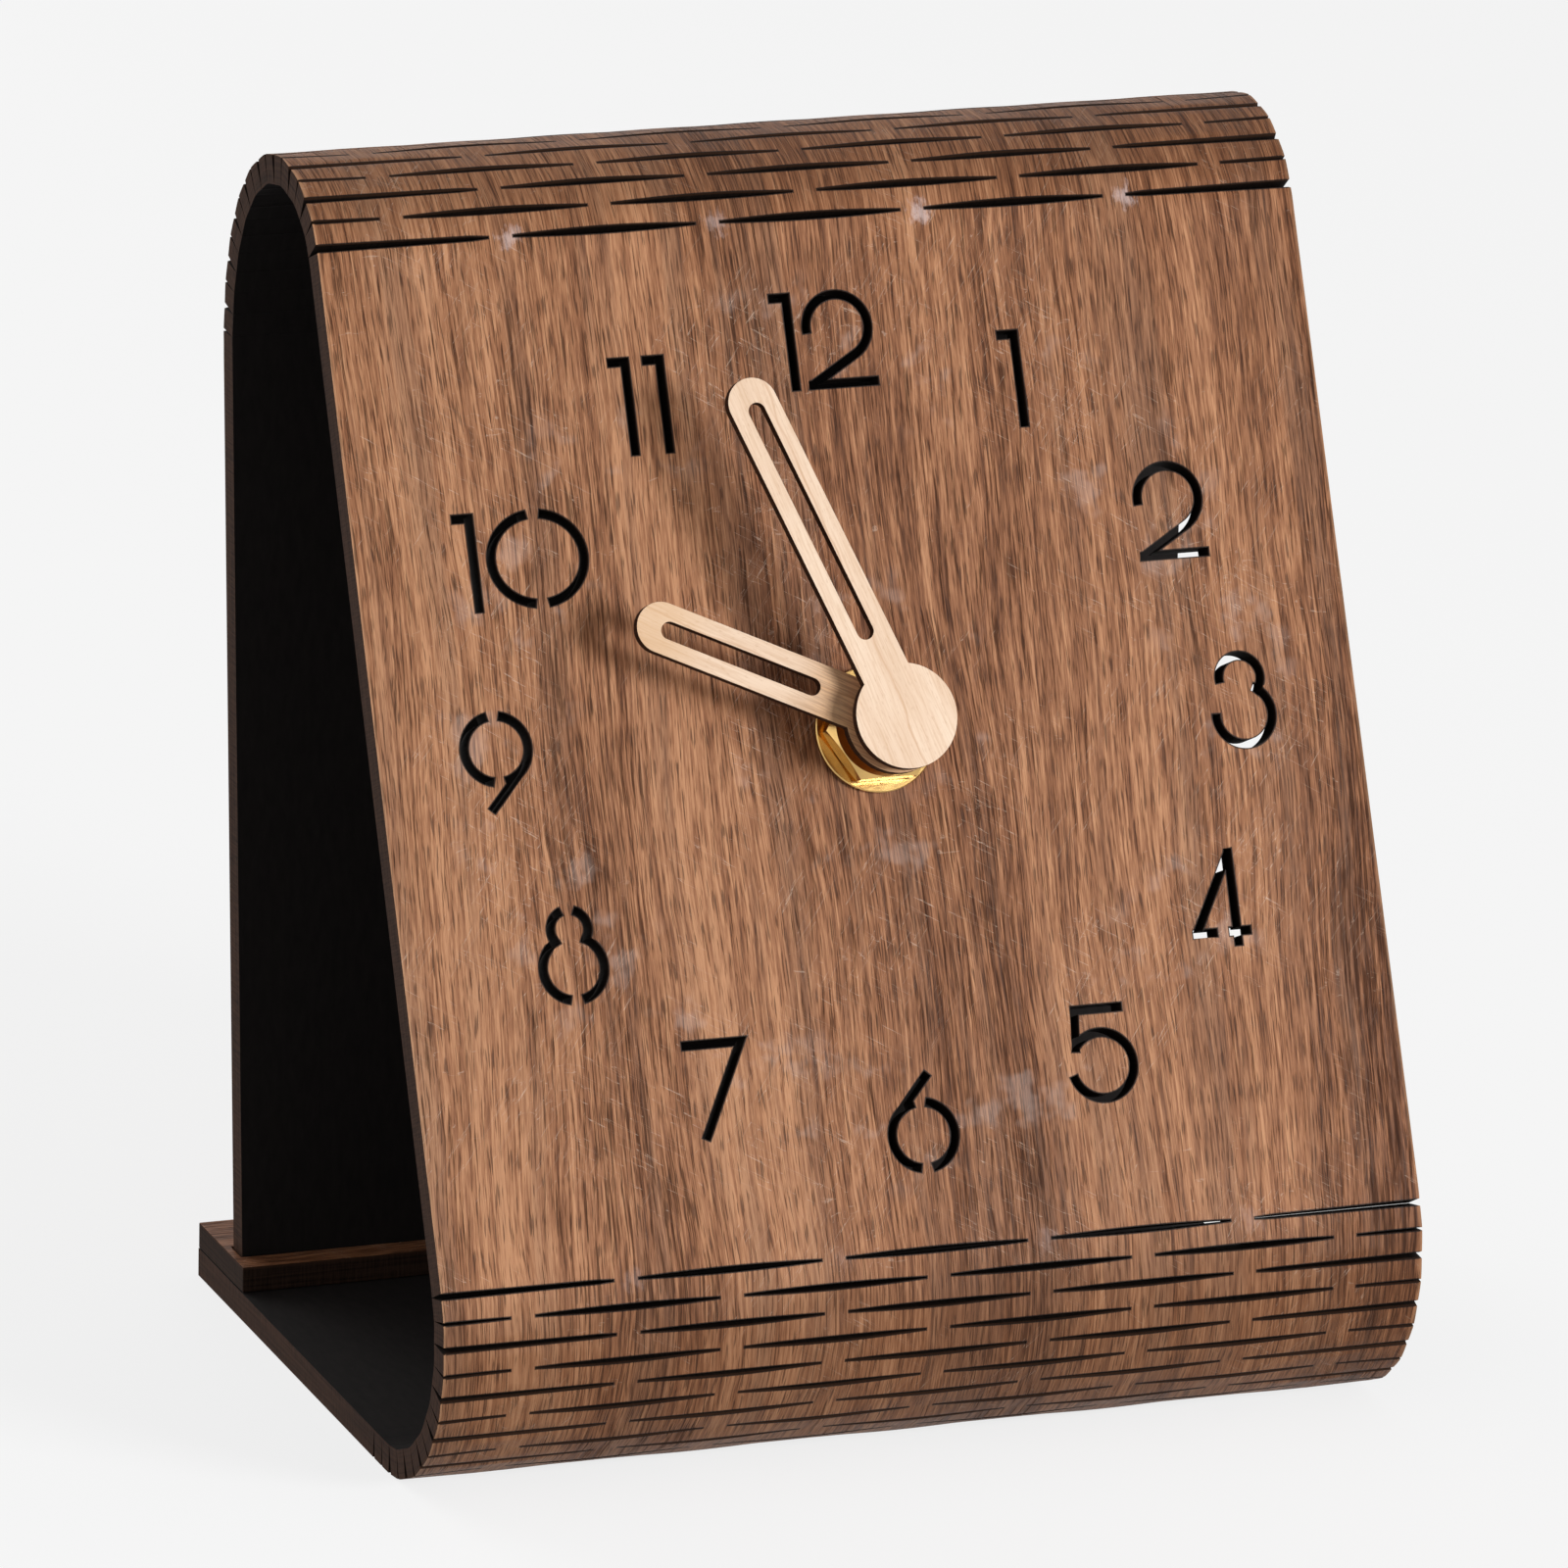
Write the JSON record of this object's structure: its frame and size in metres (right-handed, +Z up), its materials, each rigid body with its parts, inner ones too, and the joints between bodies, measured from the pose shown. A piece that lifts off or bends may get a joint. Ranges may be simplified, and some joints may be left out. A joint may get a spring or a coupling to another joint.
{
  "type": "wooden desk clock",
  "caption": "Leaning desk clock bent from one slitted wooden board, with cut-through numerals, slotted wooden hands and a quartz movement behind the face.",
  "frame": {"origin": "on the resting face under the flat part of the base, midway across its width and midway along its flat run", "axes": "+Z up, +X to the right as the dial is read, +Y from the dial to the back panel"},
  "size_m": [0.14, 0.1079, 0.1692],
  "materials": {
    "walnut": "walnut veneered board, black on its inner face, laser-browned edges, satin",
    "maple": "pale maple veneer, laser-browned edges, satin",
    "brass": "polished brass",
    "steel": "plain steel",
    "copper": "enamelled copper wire",
    "rubber": "matte rubber",
    "black_plastic": "moulded, fine matte",
    "white_plastic": "moulded, glossy",
    "circuit": "green laminate",
    "battery": "plain wrapped steel can"
  },
  "bodies": {
    "clock_body": {"bent_board": "walnut", "foot_bar": "walnut", "brass_washer": "brass", "hex_nut": "brass", "threaded_bushing": "brass", "rubber_washer": "rubber", "stator": "steel", "coil_core": "steel", "coil_bobbin": "white_plastic", "coil_winding": "copper", "circuit_board": "circuit", "quartz_crystal": "steel", "clock_chip": "black_plastic", "battery": "battery", "contact_positive": "steel", "contact_negative": "steel", "movement_case": "black_plastic", "movement_back_cover": "black_plastic"},
    "minute_group": {"minute_hand": "maple", "minute_hand_bush": "brass", "minute_arbor": "brass"},
    "hour_group": {"hour_hand": "maple", "hour_hand_bush": "brass", "hour_wheel": "white_plastic"},
    "setting_group": {"set_knob": "white_plastic", "motion_wheel": "white_plastic"},
    "seconds_group": {"seconds_wheel": "white_plastic"},
    "third_group": {"third_wheel": "white_plastic"},
    "centre_group": {"centre_wheel": "brass"},
    "intermediate_group": {"intermediate_wheel": "white_plastic"},
    "rotor_group": {"rotor": "steel"}
  },
  "joints": [
    {"name": "minute_spin", "type": "hinge", "parent": "clock_body", "child": "minute_group", "pos_m": [0, -0.0382, 0.09613], "axis": [0, -0.9125, 0.4091], "continuous": true},
    {"name": "hour_spin", "type": "hinge", "parent": "clock_body", "child": "hour_group", "pos_m": [0, -0.0382, 0.09613], "axis": [0, -0.9125, 0.4091], "continuous": true},
    {"name": "setting_spin", "type": "hinge", "parent": "clock_body", "child": "setting_group", "pos_m": [-0.0105, -0.0382, 0.09613], "axis": [0, -0.9125, 0.4091], "continuous": true},
    {"name": "seconds_spin", "type": "hinge", "parent": "clock_body", "child": "seconds_group", "pos_m": [0, -0.0382, 0.09613], "axis": [0, -0.9125, 0.4091], "continuous": true},
    {"name": "third_spin", "type": "hinge", "parent": "clock_body", "child": "third_group", "pos_m": [0.00772, -0.03555, 0.10205], "axis": [0, -0.9125, 0.4091], "continuous": true},
    {"name": "centre_spin", "type": "hinge", "parent": "clock_body", "child": "centre_group", "pos_m": [0, -0.0382, 0.09613], "axis": [0, -0.9125, 0.4091], "continuous": true},
    {"name": "intermediate_spin", "type": "hinge", "parent": "clock_body", "child": "intermediate_group", "pos_m": [-0.00261, -0.03422, 0.10502], "axis": [0, -0.9125, 0.4091], "continuous": true},
    {"name": "rotor_spin", "type": "hinge", "parent": "clock_body", "child": "rotor_group", "pos_m": [-0.00065, -0.03123, 0.11168], "axis": [0, -0.9125, 0.4091], "continuous": true}
  ],
  "couplings": [
    {"joint": "hour_spin", "follows": "minute_spin", "ratio": 0.083333},
    {"joint": "setting_spin", "follows": "minute_spin", "ratio": -0.33333},
    {"joint": "third_spin", "follows": "seconds_spin", "ratio": -0.13333},
    {"joint": "centre_spin", "follows": "seconds_spin", "ratio": 0.016667},
    {"joint": "intermediate_spin", "follows": "seconds_spin", "ratio": -5},
    {"joint": "rotor_spin", "follows": "seconds_spin", "ratio": 30}
  ]
}
